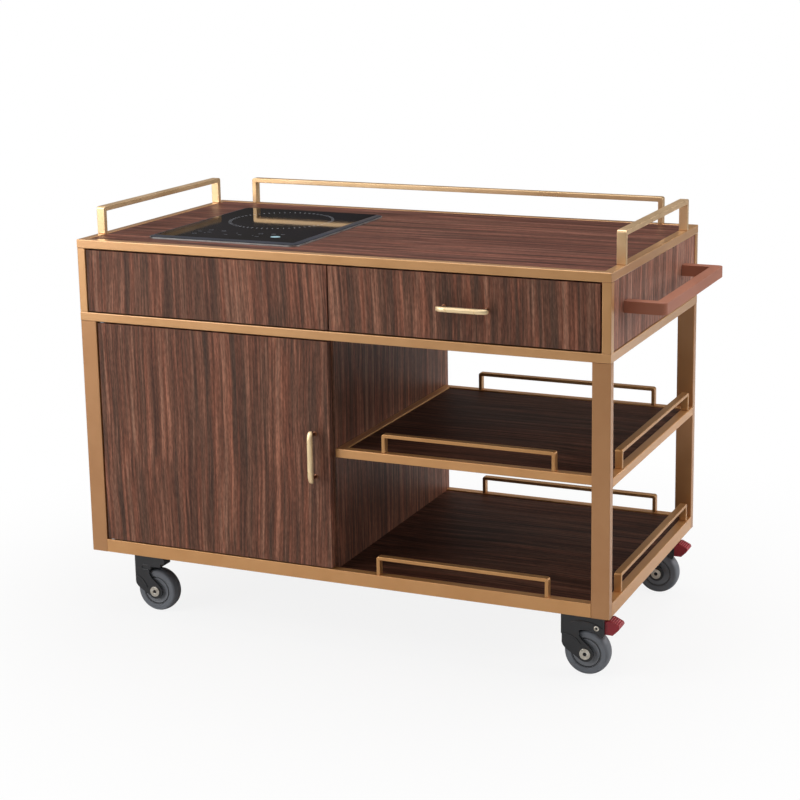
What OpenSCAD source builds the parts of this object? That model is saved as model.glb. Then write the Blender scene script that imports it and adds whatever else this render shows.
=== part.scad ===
// Flambe trolley with a built-in induction hob, a drawer, a cupboard and two open shelves.
// Each sub-part is one module. Sizes are in millimetres, +Z is up and +X runs to the handle.

/* [Overall] */
// Length of the frame, without the push handle
frame_w = 1250; // [1200:10:1300]
// Depth of the frame
frame_d = 650; // [620:10:680]
// Height of the worktop frame above the floor
top_z = 875; // [865:5:895]
// Height of the underside of the base frame above the floor
base_z = 148; // [148:1:152]

/* [Frame] */
// Side of the square tube of the frame
tube = 20; // [20:1:22]
// Wall of every tube
wall = 1.5; // [1:0.1:2]
// Width of a lower post, seen from the front
post_w = 40; // [36:1:44]
// Height of the base rails
base_h = 30; // [28:1:34]
// Height of the top of the middle frame
mid_z = 710; // [700:2:716]
// Height of the top of the middle shelf frame
shelf_z = 447; // [420:1:470]
// Seam between two welded tubes
seam = 0.2; // [0.1:0.05:0.4]

/* [Boards] */
// Thickness of the veneered boards
board = 18; // [16:1:18]
// Thickness of the two shelf boards
shelf_board_t = 12; // [10:1:13]
// Depth of an inlaid board below the top of its frame
inlay = 1; // [0:0.5:2]
// Gap round the drawer front and the door
gap = 3; // [2:0.5:4]
// Right face of the cupboard divider, from the left end
divider_x = 622; // [600:2:640]

/* [Guards] */
// Width of the flat bar of the worktop guards
guard_w = 20; // [16:1:20]
// Thickness of the flat bar of the worktop guards
guard_t = 11; // [8:1:12]
// Height of the left and back worktop guards
guard_h = 62; // [50:1:75]
// Height of the worktop guard beside the push handle
guard_right_h = 71; // [50:1:75]
// Width of the flat bar of the shelf guards
rail_w = 16; // [12:1:18]
// Thickness of the flat bar of the shelf guards
rail_t = 8; // [6:1:9]
// Height of the shelf guards
rail_h = 42; // [36:1:50]

/* [Push handle] */
// Side of the square tube of the handle
grip = 25; // [22:1:28]
// Reach of the handle beyond the frame
grip_out = 88; // [75:1:100]
// Length of the handle along the depth of the trolley
grip_len = 458; // [420:2:490]
// Height of the middle of the handle
grip_z = 790; // [770:1:800]

/* [Hob] */
// Width of the hob glass
hob_w = 376; // [360:2:390]
// Depth of the hob glass
hob_d = 456; // [440:2:470]
// Middle of the hob, from the left end
hob_x = 326; // [300:1:330]
// Middle of the hob, from the front
hob_y = 298; // [285:1:310]
// Depth of the housing below the worktop
hob_deep = 62; // [50:1:70]
// Diameter of the induction coil
coil_d = 210; // [180:5:220]

/* [Drawer and pulls] */
// Length of the drawer slides and of the drawer box
slide_len = 500; // [400:50:550]
// Height of the drawer box
drawer_h = 100; // [80:2:105]
// Thickness of the drawer box boards
drawer_t = 12; // [10:1:15]
// Length of a pull
pull_len = 118; // [110:1:130]
// Width of a pull
pull_w = 14; // [12:0.5:16]
// Reach of a pull in front of its board
pull_out = 32; // [28:1:36]
// Distance between the two posts of a pull
pull_pitch = 96; // [90:1:100]

/* [Door] */
// Gap between the door and the left post
door_side_gap = 4.5; // [4.5:0.1:6]
// Right edge of the door, back from the right face of the divider
door_step = 5; // [4:0.5:7]
// Radius of the door's pivot pins
pivot_r = 4; // [3:0.5:5]

/* [Casters] */
// Diameter of a wheel
wheel_d = 100; // [96:1:100]
// Width of a tyre
tyre_w = 32; // [28:1:32]
// Distance from the swivel axis to the wheel axle
trail = 30; // [28:1:32]
// Swivel axis of the left casters, from the left end
caster_left = 107; // [100:1:130]
// Swivel axis of the right casters, from the right end
caster_right = 95; // [85:1:100]
// Swivel axes, from the front and the back
caster_in = 62; // [55:1:65]

/* [Hidden] */
$fn = 48;
clear = 0.05;
frame_metal = "#c08f5c";
bar_metal = "#c9a878";
brass = "#e3cd97";
walnut = "#5d4037";
dark_walnut = "#4a302a";
zinc = "#b9bcc0";
black = "#26272b";

origin_x = -(frame_w + grip_out) / 2;
origin_y = -(frame_d - pull_out) / 2;
inner_w = frame_w - 2 * tube;
inner_d = frame_d - 2 * tube;
rail_z = mid_z - tube;
base_top = base_z + base_h;
deck_z = rail_z + board;
worktop_z = top_z - inlay;
shelf_x = divider_x;
shelf_len = frame_w - shelf_x;
beam_w = 100;
beam_h = base_h - shelf_board_t - gap;
beam_wall = 2;
shelf_floor = base_z + beam_h + shelf_board_t;
front_low = mid_z + gap;
front_high = top_z - tube - gap;
front_h = front_high - front_low;
part_x = divider_x - 2;
shadow = 1;
rebate = 0.5;
dado = 1;

guard_left_y = 85;
guard_left_len = 526;
guard_right_y = 94;
guard_right_len = 473;
guard_back_x = 100;
guard_back_len = 1070;
guard_r = 6;
mid_front_x = 730;
mid_front_len = 394;
mid_back_x = 718;
mid_back_len = 444;
low_front_x = 722;
mid_right_y = 88;
mid_right_len = 513;
grip_y = 88;
grip_r = 12;
grip_wall = 2;

trim_t = 3;
glass_t = 4;
bevel = 3;
hob_r = 14;
housing_w = hob_w - 30;
housing_d = hob_d - 30;
cut_r = 8;
sheet = 1.5;
housing_z = worktop_z - hob_deep;
glass_z = worktop_z + trim_t;
coil_y = hob_y + 60;
coil_t = 7;
fan_d = 76;
fan_x = hob_x + 95;
fan_y = hob_y - 160;
fan_h = 22;
fan_frame = 84;
blades = 7;
pin_r = 1.5;
pcb_w = 150;
pcb_d = 100;
pcb_x = hob_x - 130;
pcb_y = fan_y - pcb_d / 2;
pcb_z = housing_z + sheet + 6;

gland_x = 100;
gland_z = mid_z + 30;
gland_hole = 10;

slide_t = 13;
slide_z = mid_z + 62;
drawer_x0 = part_x + slide_t;
drawer_x1 = frame_w - tube - slide_t;
drawer_z = slide_z - drawer_h / 2;
front_x0 = divider_x + 1;
front_x1 = frame_w - tube - gap;
pull_x = (front_x0 + front_x1) / 2 + 12;
pull_z = (front_low + front_high) / 2;
pull_t = 7;
pull_post_r = 4;

door_x0 = post_w + door_side_gap;
door_x1 = divider_x - door_step;
door_z0 = base_top + gap;
door_z1 = rail_z - gap;
pivot_x = door_x0 + board / 2;
pivot_y = board / 2;
pivot_deep = 12;
door_pull_x = door_x1 - 34;
door_pull_z = (door_z0 + door_z1) / 2;

wheel_r = wheel_d / 2;
axle_r = 6;
hub_r = 33;
fork_in = tyre_w / 2 + 2.5;
fork_t = 4;
fork_out = fork_in + fork_t;
head_r = 30;
crown_low = wheel_r * 2 + 9;
crown_top = base_z - 10;
kingpin_r = 8;
rivet_x = trail + 25;
rivet_z = crown_top - 28;
rivet_r = 4;
boss_r = 18;
caster_at = [
    [caster_left, caster_in],
    [frame_w - caster_right, caster_in],
    [caster_left, frame_d - caster_in],
    [frame_w - caster_right, frame_d - caster_in]
];

// Moves the trolley from its left front floor corner to the middle of its footprint
module place() {
    translate([origin_x, origin_y, 0]) children();
}

// Box between two opposite corners
module block(low, high) {
    translate(low) cube(high - low);
}

// Hollow tube between two corners, open at both ends of the given axis (0 = X, 1 = Y, 2 = Z)
module tube_between(low, high, axis, t = wall) {
    skip = [axis == 0 ? 1 : 0, axis == 1 ? 1 : 0, axis == 2 ? 1 : 0];
    difference() {
        block(low, high);
        block(
            [for (i = [0:2]) low[i] + (skip[i] == 1 ? -1 : t)],
            [for (i = [0:2]) high[i] - (skip[i] == 1 ? -1 : t)]
        );
    }
}

// Ring of four hollow tubes with a fine mitre seam at each corner
module mitred_frame(low, high) {
    side = high[2] - low[2];
    core = [wall, wall, wall];
    difference() {
        block(low, high);
        block([low[0] + side, low[1] + side, low[2] - 1], [high[0] - side, high[1] - side, high[2] + 1]);
        difference() {
            block(low + core, high - core);
            block(
                [low[0] + side - wall, low[1] + side - wall, low[2]],
                [high[0] - side + wall, high[1] - side + wall, high[2]]
            );
        }
        for (sx = [0, 1], sy = [0, 1])
            translate([sx == 0 ? low[0] : high[0], sy == 0 ? low[1] : high[1], low[2] - 1])
                rotate([0, 0, sx == sy ? 45 : -45])
                    translate([-2 * side, -seam / 2, 0]) cube([4 * side, seam, side + 2]);
    }
}

// Rectangle with round corners, centred
module round_rect(w, d, r) {
    square([w - 2 * r, d], center = true);
    square([w, d - 2 * r], center = true);
    for (sx = [-1, 1], sy = [-1, 1])
        translate([sx * (w / 2 - r), sy * (d / 2 - r)]) circle(r = r);
}

// Flat bar bent to a low bracket: it spans len along X, stands on z = 0 and is w deep in Y
module bent_bar(len, h, w, t) {
    translate([0, w, 0]) rotate([90, 0, 0]) linear_extrude(w) difference() {
        union() {
            square([len, h - guard_r]);
            translate([guard_r, 0]) square([len - 2 * guard_r, h]);
            for (x = [guard_r, len - guard_r]) translate([x, h - guard_r]) circle(r = guard_r);
        }
        translate([t, -1]) square([len - 2 * t, h - t + 1]);
    }
}

// The same bracket, with its span along Y and its width w in X
module bent_bar_y(len, h, w, t) {
    translate([w, 0, 0]) rotate([0, 0, 90]) bent_bar(len, h, w, t);
}

module top_frame() {
    color(frame_metal) place()
        mitred_frame([0, 0, top_z - tube], [frame_w, frame_d, top_z]);
}

module mid_frame() {
    color(frame_metal) place()
        mitred_frame([0, 0, rail_z], [frame_w, frame_d, mid_z]);
}

module shelf_frame() {
    color(frame_metal) place()
        mitred_frame([shelf_x, tube, shelf_z - tube], [frame_w, frame_d - tube, shelf_z]);
}

module upper_posts() {
    color(frame_metal) place()
        for (x = [0, frame_w - tube], y = [0, frame_d - tube])
            tube_between([x, y, mid_z], [x + tube, y + tube, top_z - tube], 2);
}

module lower_posts() {
    color(frame_metal) place()
        for (x = [0, frame_w - post_w], y = [0, frame_d - tube])
            tube_between([x, y, base_z], [x + post_w, y + tube, rail_z], 2);
}

// Perimeter rails between the posts, and a low channel under the boards at each pair of casters
module base_frame() {
    color(frame_metal) place() {
        for (y = [0, frame_d - tube])
            tube_between([post_w, y, base_z], [frame_w - post_w, y + tube, base_top], 0);
        for (x = [0, frame_w - tube])
            tube_between([x, tube, base_z], [x + tube, frame_d - tube, base_top], 1);
        for (x = [caster_left, frame_w - caster_right]) difference() {
            block([x - beam_w / 2, tube + seam, base_z],
                  [x + beam_w / 2, frame_d - tube - seam, base_z + beam_h]);
            block([x - beam_w / 2 + beam_wall, 0, base_z + beam_wall],
                  [x + beam_w / 2 - beam_wall, frame_d, base_z + beam_h + 1]);
        }
    }
}

// Inlaid worktop with the cut-out for the hob and a shallow rebate for its rim
module worktop_board() {
    color(walnut) place() difference() {
        block([tube, tube, worktop_z - board], [frame_w - tube, frame_d - tube, worktop_z]);
        translate([hob_x, hob_y, worktop_z - board - 1])
            linear_extrude(board + 2) round_rect(housing_w + 4, housing_d + 4, cut_r);
        translate([hob_x, hob_y, worktop_z - rebate])
            linear_extrude(rebate + 1) round_rect(hob_w + 1, hob_d + 1, hob_r + 0.5);
    }
}

// Steel angles that carry the worktop along both ends
module support_angles() {
    under = worktop_z - board;
    color(zinc) place()
        for (side = [0, 1]) translate([side * frame_w, 0, 0]) mirror([side, 0, 0]) {
            block([tube, tube, under - 3], [2 * tube, frame_d - tube, under]);
            block([tube, tube, under - tube], [tube + 3, frame_d - tube, under]);
        }
}

// Two end panels of the drawer case, and the outer side of the cupboard
module side_panels() {
    inset = tube - board;
    color(walnut) place() {
        for (x = [inset, frame_w - tube])
            block([x, tube, mid_z + shadow], [x + board, frame_d - tube, top_z - tube - shadow]);
        block([inset, tube, base_top], [tube, frame_d - tube, rail_z]);
    }
}

// Back of the drawer case with its air slots and cable hole, and back of the cupboard
module back_panels() {
    slots = 9;
    slot_pitch = 16;
    slot_w = 5;
    slot_h = 60;
    back_y = frame_d - tube;
    color(walnut) place() {
        difference() {
            block([tube, back_y, mid_z + shadow], [frame_w - tube, back_y + board, top_z - tube - shadow]);
            for (i = [0:slots - 1])
                translate([hob_x + (i - (slots - 1) / 2) * slot_pitch, back_y - 1, mid_z + 45]) {
                    block([-slot_w / 2, 0, 0], [slot_w / 2, board + 2, slot_h]);
                    for (z = [0, slot_h])
                        translate([0, 0, z]) rotate([-90, 0, 0]) cylinder(r = slot_w / 2, h = board + 2);
                }
            translate([gland_x, back_y - 1, gland_z]) rotate([-90, 0, 0])
                cylinder(r = gland_hole, h = board + 2);
        }
        block([post_w, back_y, base_top], [divider_x, back_y + board, rail_z]);
    }
}

module fixed_front_panel() {
    color(walnut) place()
        block([tube + gap, 0, front_low], [front_x0 - gap, tube, front_high]);
}

// Cupboard divider, and the partition between the hob and the drawer
module dividers() {
    color(walnut) place() {
        block([divider_x - board, tube, shelf_floor - dado], [divider_x, frame_d - tube, rail_z]);
        block([part_x - board, tube, deck_z], [part_x, frame_d - tube, worktop_z - board]);
    }
}

module deck_board() {
    color(dark_walnut) place()
        block([tube, tube, rail_z], [frame_w - tube, frame_d - tube, deck_z]);
}

// Lower shelf, with a shallow groove that holds the foot of the divider
module base_board() {
    color(walnut) place() difference() {
        block([tube, tube, base_z + beam_h], [frame_w - tube, frame_d - tube, shelf_floor]);
        block([divider_x - board, 0, shelf_floor - dado], [divider_x, frame_d, shelf_floor + 1]);
    }
}

module shelf_board() {
    high = shelf_z - gap;
    color(walnut) place()
        block([shelf_x + tube, 2 * tube, high - shelf_board_t],
              [frame_w - tube, frame_d - 2 * tube, high]);
}

module top_guard_left() {
    color(bar_metal) place()
        translate([0, guard_left_y, top_z]) bent_bar_y(guard_left_len, guard_h, guard_w, guard_t);
}

module top_guard_right() {
    color(bar_metal) place()
        translate([frame_w - guard_w, guard_right_y, top_z])
            bent_bar_y(guard_right_len, guard_right_h, guard_w, guard_t);
}

module top_guard_back() {
    color(bar_metal) place()
        translate([guard_back_x, frame_d - guard_w, top_z])
            bent_bar(guard_back_len, guard_h, guard_w, guard_t);
}

// Guards along the front and the back of the middle shelf
module mid_guards() {
    edge = (tube - rail_w) / 2;
    color(bar_metal) place() {
        translate([mid_front_x, tube + edge, shelf_z]) bent_bar(mid_front_len, rail_h, rail_w, rail_t);
        translate([mid_back_x, frame_d - 2 * tube + edge, shelf_z])
            bent_bar(mid_back_len, rail_h, rail_w, rail_t);
    }
}

// Guards along the front and the back of the lower shelf
module low_guards() {
    edge = (tube - rail_w) / 2;
    color(bar_metal) place() {
        translate([low_front_x, edge, base_top]) bent_bar(mid_front_len, rail_h, rail_w, rail_t);
        translate([mid_back_x, frame_d - tube + edge, base_top])
            bent_bar(mid_back_len, rail_h, rail_w, rail_t);
    }
}

module mid_guard_right() {
    edge = (tube - rail_w) / 2;
    color(bar_metal) place()
        translate([frame_w - tube + edge, mid_right_y, shelf_z])
            bent_bar_y(mid_right_len, rail_h, rail_w, rail_t);
}

module low_guard_right() {
    edge = (tube - rail_w) / 2;
    color(bar_metal) place()
        translate([frame_w - tube + edge, mid_right_y, base_top])
            bent_bar_y(mid_right_len, rail_h, rail_w, rail_t);
}

// Outline of the push handle in plan, drawn in by t from the outside of the tube
module handle_outline(t) {
    root = board - tube;
    out = grip_out - t;
    low = t;
    high = grip_len - t;
    r = grip_r - t;
    difference() {
        union() {
            translate([root, low]) square([out - r - root, high - low]);
            translate([root, low + r]) square([out - root, high - low - 2 * r]);
            for (y = [low + r, high - r]) translate([out - r, y]) circle(r = r);
        }
        translate([root - 1, grip - t]) square([grip_out - grip + 1 + t - root, grip_len - 2 * (grip - t)]);
    }
}

module push_handle() {
    color("#ae7560") place() translate([frame_w, grip_y, grip_z - grip / 2]) difference() {
        linear_extrude(grip) handle_outline(0);
        translate([0, 0, grip_wall]) linear_extrude(grip - 2 * grip_wall) handle_outline(grip_wall);
    }
}

// Metal ring that carries the glass on the worktop
module hob_trim() {
    color("#d8d3ca") place() translate([hob_x, hob_y, worktop_z - rebate])
        linear_extrude(trim_t + rebate) difference() {
            round_rect(hob_w, hob_d, hob_r);
            round_rect(housing_w, housing_d, cut_r);
        }
}

// Ceramic glass with a bevelled edge
module hob_glass() {
    color("#141418") place() translate([hob_x, hob_y, glass_z]) hull() {
        linear_extrude(1) round_rect(hob_w - 2, hob_d - 2, hob_r - 1, $fn = 32);
        linear_extrude(glass_t) round_rect(hob_w - 2 - 2 * bevel, hob_d - 2 - 2 * bevel, hob_r - 1, $fn = 32);
    }
}

// Sheet tray below the glass, with air slots in its floor under the fan and in its back wall
module hob_housing() {
    color(zinc) place() translate([hob_x, hob_y, housing_z]) difference() {
        linear_extrude(hob_deep + trim_t) round_rect(housing_w, housing_d, cut_r);
        translate([0, 0, sheet]) linear_extrude(hob_deep + trim_t)
            round_rect(housing_w - 2 * sheet, housing_d - 2 * sheet, cut_r - sheet);
        for (i = [-3:3]) {
            half = sqrt(pow(fan_d / 2 - 4, 2) - pow(i * 9, 2));
            translate([fan_x - hob_x, fan_y - hob_y + i * 9, -1])
                block([-half, -2, 0], [half, 2, sheet + 2]);
        }
        for (i = [-6:6])
            translate([i * 18, housing_d / 2 - sheet - 1, 20]) cube([6, sheet + 2, 24]);
    }
}

// Flat wound coil on its ferrite carrier, held under the glass
module induction_coil() {
    turns = 6;
    step = (coil_d / 2 - 30) / turns;
    color("#b06a3b") place() translate([hob_x, coil_y, glass_z - coil_t]) {
        cylinder(r = coil_d / 2 + 4, h = 2, $fn = 96);
        for (i = [0:turns - 1]) difference() {
            cylinder(r = coil_d / 2 - i * step, h = coil_t - 1, $fn = 96);
            translate([0, 0, -1]) cylinder(r = coil_d / 2 - i * step - step * 0.7, h = coil_t + 2, $fn = 96);
        }
        for (a = [45:90:315]) rotate([0, 0, a])
            translate([coil_d / 2 - 4, 0, 2 - hob_deep - trim_t + coil_t + sheet - 2])
                cylinder(r = 4, h = hob_deep + trim_t - coil_t - sheet);
    }
}

// Power board with its heat sink and capacitors, and the square frame of the fan
module hob_electronics() {
    fins = 7;
    floor_z = housing_z + sheet;
    color("#2f6b3c") place() {
        block([pcb_x, pcb_y, pcb_z], [pcb_x + pcb_w, pcb_y + pcb_d, pcb_z + 1.6]);
        for (x = [6, pcb_w - 6], y = [6, pcb_d - 6])
            translate([pcb_x + x, pcb_y + y, floor_z]) cylinder(r = 3, h = pcb_z - floor_z);
        for (i = [0:fins - 1])
            block([pcb_x + 40 + i * 8, pcb_y + 18, pcb_z + 1.6],
                  [pcb_x + 42 + i * 8, pcb_y + 83, pcb_z + 30]);
        block([pcb_x + 40, pcb_y + 18, pcb_z + 1.6], [pcb_x + 42 + (fins - 1) * 8, pcb_y + 83, pcb_z + 5]);
        for (y = [18, 46, 74])
            translate([pcb_x + 20, pcb_y + y, pcb_z + 1.6]) cylinder(r = 11, h = 28);
        translate([fan_x, fan_y, floor_z]) {
            difference() {
                linear_extrude(fan_h + 4) round_rect(fan_frame, fan_frame, 5);
                translate([0, 0, -1]) cylinder(r = fan_d / 2 + 1, h = fan_h + 6);
            }
            for (a = [0, 90]) rotate([0, 0, a])
                translate([-fan_d / 2 - 2, -2, 0]) cube([fan_d + 4, 4, 1.5]);
            cylinder(r = 12, h = 2);
            cylinder(r = pin_r, h = fan_h);
        }
    }
}

// Rotor of the cooling fan: hub with its bore, and curved set of tilted blades
module fan_rotor() {
    tilt = 35;
    color(black) place() translate([fan_x, fan_y, housing_z + sheet + 3]) difference() {
        union() {
            cylinder(r = 14, h = fan_h - 4);
            for (i = [0:blades - 1]) rotate([0, 0, i * 360 / blades])
                translate([12, 0, (fan_h - 4) / 2]) rotate([tilt, 0, 0])
                    translate([0, -0.6, -9]) cube([fan_d / 2 - 13.5, 1.2, 18]);
        }
        translate([0, 0, -1]) cylinder(r = pin_r + clear, h = fan_h + 2);
    }
}

// Cable gland in the back of the drawer case: threaded body, flange nut and domed cap
module cable_gland() {
    color(black) place() translate([gland_x, frame_d - tube, gland_z]) rotate([-90, 0, 0]) difference() {
        union() {
            translate([0, 0, -4]) cylinder(r = 14, h = 4, $fn = 6);
            cylinder(r = gland_hole, h = board + 1);
            translate([0, 0, board]) cylinder(r = 13, h = 1.5);
        }
        translate([0, 0, -5]) cylinder(r = 4.5, h = board + 10);
    }
}

module drawer_front() {
    color(walnut) place()
        block([front_x0, 0, front_low], [front_x1, board, front_high]);
}

// Sides and ends of the drawer box
module drawer_box() {
    y1 = board + slide_len;
    z1 = drawer_z + drawer_h;
    color("#8b6b57") place() {
        for (x = [drawer_x0, drawer_x1 - drawer_t])
            block([x, board, drawer_z], [x + drawer_t, y1, z1]);
        for (y = [board, y1 - drawer_t])
            block([drawer_x0 + drawer_t + seam, y, drawer_z],
                  [drawer_x1 - drawer_t - seam, y + drawer_t, z1]);
    }
}

module drawer_bottom() {
    color("#8b6b57") place()
        block([drawer_x0 + drawer_t, board + drawer_t, drawer_z + 4],
              [drawer_x1 - drawer_t, board + slide_len - drawer_t, drawer_z + 10]);
}

// Front of a pull: straight upper edge with small corners, lower corners widely rounded
module pull_outline() {
    tight = 3;
    wide = pull_w - tight;
    intersection() {
        square([pull_len, pull_w], center = true);
        union() {
            square([pull_len - 2 * wide, pull_w], center = true);
            for (s = [-1, 1]) {
                translate([s * (pull_len / 2 - wide), pull_w / 2 - tight]) circle(r = wide);
                translate([s * (pull_len / 2 - tight), pull_w / 2 - tight]) circle(r = tight);
                translate([s * (pull_len / 2 - wide), pull_w / 2 - tight / 2])
                    square([2 * (wide - tight), tight], center = true);
            }
        }
    }
}

// Pull with a convex front on two posts, along X, its middle at the origin
module pull() {
    back = pull_out - pull_t;
    color(brass) {
        intersection() {
            translate([0, -back, 0]) rotate([90, 0, 0]) linear_extrude(pull_t) pull_outline();
            translate([0, -pull_out + pull_w * 0.6, 0]) rotate([0, 90, 0])
                cylinder(r = pull_w * 0.6, h = pull_len + 2, center = true, $fn = 64);
        }
        for (x = [-1, 1]) translate([x * pull_pitch / 2, 0, 0]) rotate([90, 0, 0])
            cylinder(r = pull_post_r, h = back + 1);
    }
}

module drawer_pull() {
    place() translate([pull_x, 0, pull_z]) pull();
}

module door_pull() {
    place() translate([door_pull_x, 0, door_pull_z]) rotate([0, 90, 0]) pull();
}

// Places a slide section, drawn from the wall inwards, on both sides of the drawer
module both_slides(y0, len) {
    place() for (side = [0, 1])
        translate([side == 0 ? part_x : frame_w - tube, y0, slide_z])
            mirror([side, 0, 0]) translate([0, len, 0]) rotate([90, 0, 0]) linear_extrude(len) children();
}

// Channel section: web from u to u + t, flanges at half height h that reach from u0 to u1
module channel(u, t, h, u0, u1) {
    translate([u, -h]) square([t, 2 * h]);
    for (s = [-1, 1]) translate([u0, s > 0 ? h - 1.5 : -h]) square([u1 - u0, 1.5]);
}

module slide_outer() {
    color(zinc) both_slides(board + 2, slide_len) {
        channel(0, 1.5, 22.5, 0, 9);
        for (s = [-1, 1]) translate([8, s > 0 ? 19.5 : -22.5]) square([1, 3]);
    }
}

// Middle member with its rows of balls, which run in both neighbours
module slide_middle() {
    color("#9fa3a8") both_slides(board + 3, slide_len - 4) {
        channel(5.5, 1.5, 17.5, 2, 11);
        for (s = [-1, 1]) {
            translate([3, s > 0 ? 17 : -20.7]) square([3.5, 3.7]);
            translate([7.5, s > 0 ? 12.8 : -16.5]) square([3, 3.7]);
        }
    }
}

module slide_inner() {
    color(zinc) both_slides(board, slide_len - 2)
        channel(11.5, 1.5, 12.5, 8, 13);
}

// Cupboard door with a pivot bore in its top and bottom edges
module door_panel() {
    color(walnut) place() difference() {
        block([door_x0, 0, door_z0], [door_x1, board, door_z1]);
        for (z = [door_z0 - 1, door_z1 - pivot_deep - 1]) translate([pivot_x, pivot_y, z])
            cylinder(r = pivot_r + clear, h = pivot_deep + 2);
    }
}

// Steel plate on the back of the door, which meets the magnet
module door_strike() {
    color(zinc) place()
        block([divider_x - board - 16, board, rail_z - 44],
              [divider_x - board - 2, board + 1.4, rail_z - 16]);
}

// Pivot pins with their washers on the frame, and the magnet on the divider
module door_hardware() {
    color(zinc) place() {
        for (end = [0, 1]) translate([pivot_x, pivot_y, end == 0 ? base_top : rail_z])
            mirror([0, 0, end]) {
                cylinder(r = pivot_r, h = gap + pivot_deep - 1);
                cylinder(r = 7, h = gap - 0.3);
            }
        block([divider_x - board - 16, tube, rail_z - 44], [divider_x - board, tube + 40, rail_z - 16]);
    }
}

// Mounting plates with their bearing cups and kingpins
module caster_plates() {
    plate_t = 4;
    color(zinc) place() for (c = caster_at) translate([c[0], c[1], 0]) {
        translate([0, 0, base_z - plate_t]) linear_extrude(plate_t) round_rect(beam_w - 2, 74, 8);
        for (x = [-38, 38], y = [-27, 27])
            translate([x, y, base_z - 2 * plate_t]) cylinder(r = 6.5, h = plate_t, $fn = 6);
        translate([0, 0, crown_top + 2.4]) cylinder(r = head_r - 2, h = base_z - plate_t - crown_top - 2.4);
        translate([0, 0, crown_low - 0.3 - 5]) {
            cylinder(r = kingpin_r, h = base_z - plate_t - crown_low + 5.3);
            cylinder(r = 11, h = 5);
        }
    }
}

// Side of a fork, in X and Z from the swivel axis: upper plate, sloping leg and axle boss
module fork_side(braked) {
    reach = braked ? trail + 42 : trail + 28;
    low = braked ? wheel_r + 40 : crown_low + 9;
    difference() {
        polygon([
            [-head_r, crown_top], [-head_r, wheel_r + 50], [20, wheel_r + 50], [20, low], [reach - 3, low],
            [reach, low + 6], [reach, crown_top - 10], [reach - 10, crown_top]
        ]);
        translate([trail, wheel_r]) circle(r = wheel_r + 3, $fn = 96);
    }
    polygon([
        [-head_r, wheel_r + 62], [-head_r, wheel_r + 30], [-head_r + 3, wheel_r + 23],
        [-head_r + 16, wheel_r + 7],
        [trail - boss_r * 0.7, wheel_r - boss_r * 0.714], [trail + boss_r * 0.7, wheel_r + boss_r * 0.714],
        [trail - 9, wheel_r + 32], [trail - 14, wheel_r + 41], [trail - 13, wheel_r + 62]
    ]);
    translate([trail, wheel_r]) circle(r = boss_r);
}

module fork(index, braked) {
    color(black) place() translate([caster_at[index][0], caster_at[index][1], 0]) difference() {
        union() {
            intersection() {
                union() {
                    for (y = [fork_out, -fork_in]) translate([0, y, 0]) rotate([90, 0, 0])
                        linear_extrude(fork_t) fork_side(braked);
                    block([-head_r, -fork_out, crown_low], [trail + 16, fork_out, crown_top]);
                    block([-head_r, -fork_out, wheel_r + 36], [-head_r + 5, fork_out, crown_top]);
                }
                linear_extrude(base_z) {
                    circle(r = head_r, $fn = 96);
                    translate([0, -fork_out]) square([2 * trail + 30, 2 * fork_out]);
                }
            }
            translate([0, 0, crown_top]) cylinder(r = head_r - 2, h = 2);
            if (braked) translate([rivet_x, 0, rivet_z]) rotate([90, 0, 0]) {
                cylinder(r = rivet_r, h = 2 * fork_out, center = true);
                for (s = [-1, 1]) translate([0, 0, s * (fork_out + 0.5)])
                    cylinder(r = rivet_r + 1.5, h = 1, center = true);
            }
        }
        translate([0, 0, crown_low - 1]) cylinder(r = kingpin_r + clear, h = base_z);
        translate([trail, 0, wheel_r]) rotate([90, 0, 0])
            cylinder(r = axle_r, h = 3 * fork_out, center = true);
    }
}

// Turns a profile, drawn as radius and width, about the axle of one wheel
module on_axle(index) {
    place() translate([caster_at[index][0] + trail, caster_at[index][1], wheel_r])
        rotate([90, 0, 0]) children();
}

// Soft grey tyre with round shoulders
module tyre(index) {
    shoulder = 10;
    color("#4c4e53") on_axle(index) rotate_extrude($fn = 96) difference() {
        union() {
            translate([hub_r, -tyre_w / 2 + shoulder]) square([wheel_r - hub_r, tyre_w - 2 * shoulder]);
            translate([hub_r, -tyre_w / 2]) square([wheel_r - hub_r - shoulder, tyre_w]);
            for (s = [-1, 1]) translate([wheel_r - shoulder, s * (tyre_w / 2 - shoulder)])
                circle(r = shoulder);
        }
        translate([0, -tyre_w]) square([hub_r, 2 * tyre_w]);
    }
}

// Wheel core: dished disc with a groove round its rim and a bored boss
module hub(index) {
    half = tyre_w / 2 - 1;
    boss = fork_in - 0.5;
    color("#3a3b40") on_axle(index) rotate_extrude($fn = 96) polygon([
        [axle_r + clear, -boss], [13, -boss], [14, -half + 3], [26, -half + 1.5], [29, -half],
        [30, -half], [30.5, -half + 3], [31.5, -half + 3], [32, -half], [hub_r, -half],
        [hub_r, half], [32, half], [31.5, half - 3], [30.5, half - 3], [30, half],
        [29, half], [26, half - 1.5], [14, half - 3], [13, boss], [axle_r + clear, boss]
    ]);
}

// Axle bolt with a domed socket head and a nut
module axle(index) {
    head = 12;
    color("#c9c6bd") on_axle(index) {
        difference() {
            translate([0, 0, fork_out]) cylinder(r = head, h = 3);
            translate([0, 0, fork_out + 1]) cylinder(r = 4.6, h = 3, $fn = 6);
        }
        translate([0, 0, -fork_out - 3]) cylinder(r = axle_r, h = 2 * fork_out + 4);
        translate([0, 0, -fork_out - 4]) cylinder(r = 9, h = 4, $fn = 6);
    }
}

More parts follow.
